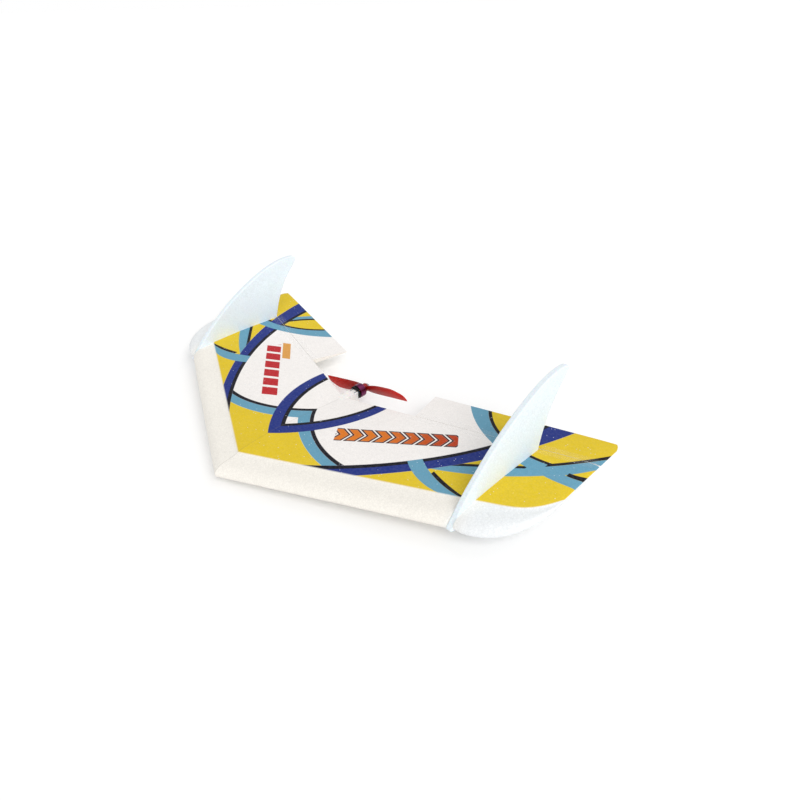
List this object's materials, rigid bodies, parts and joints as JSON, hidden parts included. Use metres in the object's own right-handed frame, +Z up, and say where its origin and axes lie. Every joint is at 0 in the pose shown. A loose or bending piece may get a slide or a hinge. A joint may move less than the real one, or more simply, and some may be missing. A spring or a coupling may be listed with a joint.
{
  "type": "rc flying wing",
  "caption": "Small foam flying wing with two swept-back fins, hinged elevons and a pusher motor with a two-blade propeller in a notch at the back.",
  "frame": {"origin": "centre of the flat belly face that the model rests on, on the centreline, 85 mm behind the nose", "axes": "+X out along the aircraft's left wing, +Y towards the tail, +Z up"},
  "size_m": [0.4996, 0.2653, 0.0987],
  "materials": {
    "printed_foam": "bead foam with a printed film-like ink on its top",
    "white_foam": "plain bead foam",
    "clear_tape": "clear adhesive tape",
    "carbon_tube": "pultruded carbon",
    "spring_steel": "drawn wire",
    "servo_plastic": "tinted moulded plastic",
    "arm_plastic": "moulded nylon",
    "servo_shaft_metal": "turned",
    "screw_steel": "plated",
    "servo_wire": "wire sleeve",
    "motor_wire": "silicone sleeve",
    "mount_black": "black anodised",
    "stator_iron": "stacked laminations",
    "copper_wire": "enamelled copper",
    "bearing_steel": "ground",
    "bell_metal": "dark purple anodised",
    "magnet_metal": "nickel plated",
    "prop_red": "moulded red plastic",
    "adapter_metal": "turned",
    "pack_wrap": "shrink sleeve",
    "hook_loop": "hook and loop",
    "power_wire": "silicone sleeve",
    "connector_plastic": "moulded nylon",
    "controller_wrap": "heat-shrink sleeve",
    "receiver_shell": "moulded case",
    "aerial_wire": "wire sleeve",
    "hatch_plastic": "thin sheet"
  },
  "bodies": {
    "airframe": {"battery_connector": "connector_plastic", "battery_leads": "power_wire", "battery_pack": "pack_wrap", "battery_pad": "hook_loop", "fin_left": "white_foam", "fin_right": "white_foam", "hinge_tape_left": "clear_tape", "hinge_tape_right": "clear_tape", "keeper_discs": "magnet_metal", "motor_bearings": "bearing_steel", "motor_leads": "motor_wire", "motor_mount": "mount_black", "motor_stator": "stator_iron", "motor_stick": "white_foam", "motor_windings": "copper_wire", "mount_screws": "screw_steel", "receiver": "receiver_shell", "receiver_antenna": "aerial_wire", "servo_case_left": "servo_plastic", "servo_case_right": "servo_plastic", "servo_lead_left": "servo_wire", "servo_lead_right": "servo_wire", "servo_lid_left": "servo_plastic", "servo_lid_right": "servo_plastic", "spar_joiner": "spring_steel", "speed_controller": "controller_wrap", "wing_panel_left": "printed_foam", "wing_panel_right": "printed_foam", "wing_spar_left": "carbon_tube", "wing_spar_right": "carbon_tube", "wingtip_left": "printed_foam", "wingtip_right": "printed_foam"},
    "elevon_left": {"elevon_left": "printed_foam", "control_horn_left": "arm_plastic"},
    "elevon_right": {"elevon_right": "printed_foam", "control_horn_right": "arm_plastic"},
    "servo_arm_left": {"servo_arm_left": "arm_plastic", "servo_arm_screw_left": "screw_steel", "servo_shaft_left": "servo_shaft_metal"},
    "pushrod_left": {"pushrod_left": "spring_steel"},
    "servo_arm_right": {"servo_arm_right": "arm_plastic", "servo_arm_screw_right": "screw_steel", "servo_shaft_right": "servo_shaft_metal"},
    "pushrod_right": {"pushrod_right": "spring_steel"},
    "rotor": {"motor_bell": "bell_metal", "motor_magnets": "magnet_metal", "motor_shaft": "spring_steel", "shaft_clip": "spring_steel", "propeller": "prop_red", "prop_adapter": "adapter_metal", "prop_washer": "adapter_metal", "prop_nut": "adapter_metal"},
    "hatch": {"belly_hatch": "hatch_plastic", "hatch_magnets": "magnet_metal"}
  },
  "joints": [
    {"name": "elevon_left_hinge", "type": "hinge", "parent": "airframe", "child": "elevon_left", "pos_m": [0.09486, 0.09557, 0.01725], "axis": [0.9579, 0.2852, 0.0318], "range_deg": [-25, 25], "deforming": ["hinge_tape_left"]},
    {"name": "servo_arm_left_turn", "type": "hinge", "parent": "airframe", "child": "servo_arm_left", "pos_m": [0.10927, 0.04765, 0.01312], "axis": [0.9579, 0.2852, 0.0318], "range_deg": [-25, 25]},
    {"name": "pushrod_left_pivot", "type": "hinge", "parent": "servo_arm_left", "child": "pushrod_left", "pos_m": [0.1096, 0.04765, 0.00313], "axis": [0.9579, 0.2852, 0.0318], "range_deg": [-25, 25]},
    {"name": "elevon_right_hinge", "type": "hinge", "parent": "airframe", "child": "elevon_right", "pos_m": [-0.09486, 0.09557, 0.01725], "axis": [0.9579, -0.2852, -0.0318], "range_deg": [-25, 25], "deforming": ["hinge_tape_right"]},
    {"name": "servo_arm_right_turn", "type": "hinge", "parent": "airframe", "child": "servo_arm_right", "pos_m": [-0.10927, 0.04765, 0.01312], "axis": [0.9579, -0.2852, -0.0318], "range_deg": [-25, 25]},
    {"name": "pushrod_right_pivot", "type": "hinge", "parent": "servo_arm_right", "child": "pushrod_right", "pos_m": [-0.1096, 0.04765, 0.00313], "axis": [0.9579, -0.2852, -0.0318], "range_deg": [-25, 25]},
    {"name": "propeller_spin", "type": "hinge", "parent": "airframe", "child": "rotor", "pos_m": [0, 0.0974, 0.0115], "axis": [0, 1, 0], "continuous": true},
    {"name": "hatch_lift_off", "type": "slide", "parent": "airframe", "child": "hatch", "axis": [0, 0, -1], "range_m": [0, 0.03]}
  ],
  "couplings": [
    {"joint": "servo_arm_left_turn", "follows": "elevon_left_hinge", "ratio": 1},
    {"joint": "pushrod_left_pivot", "follows": "elevon_left_hinge", "ratio": -1},
    {"joint": "servo_arm_right_turn", "follows": "elevon_right_hinge", "ratio": 1},
    {"joint": "pushrod_right_pivot", "follows": "elevon_right_hinge", "ratio": -1}
  ]
}
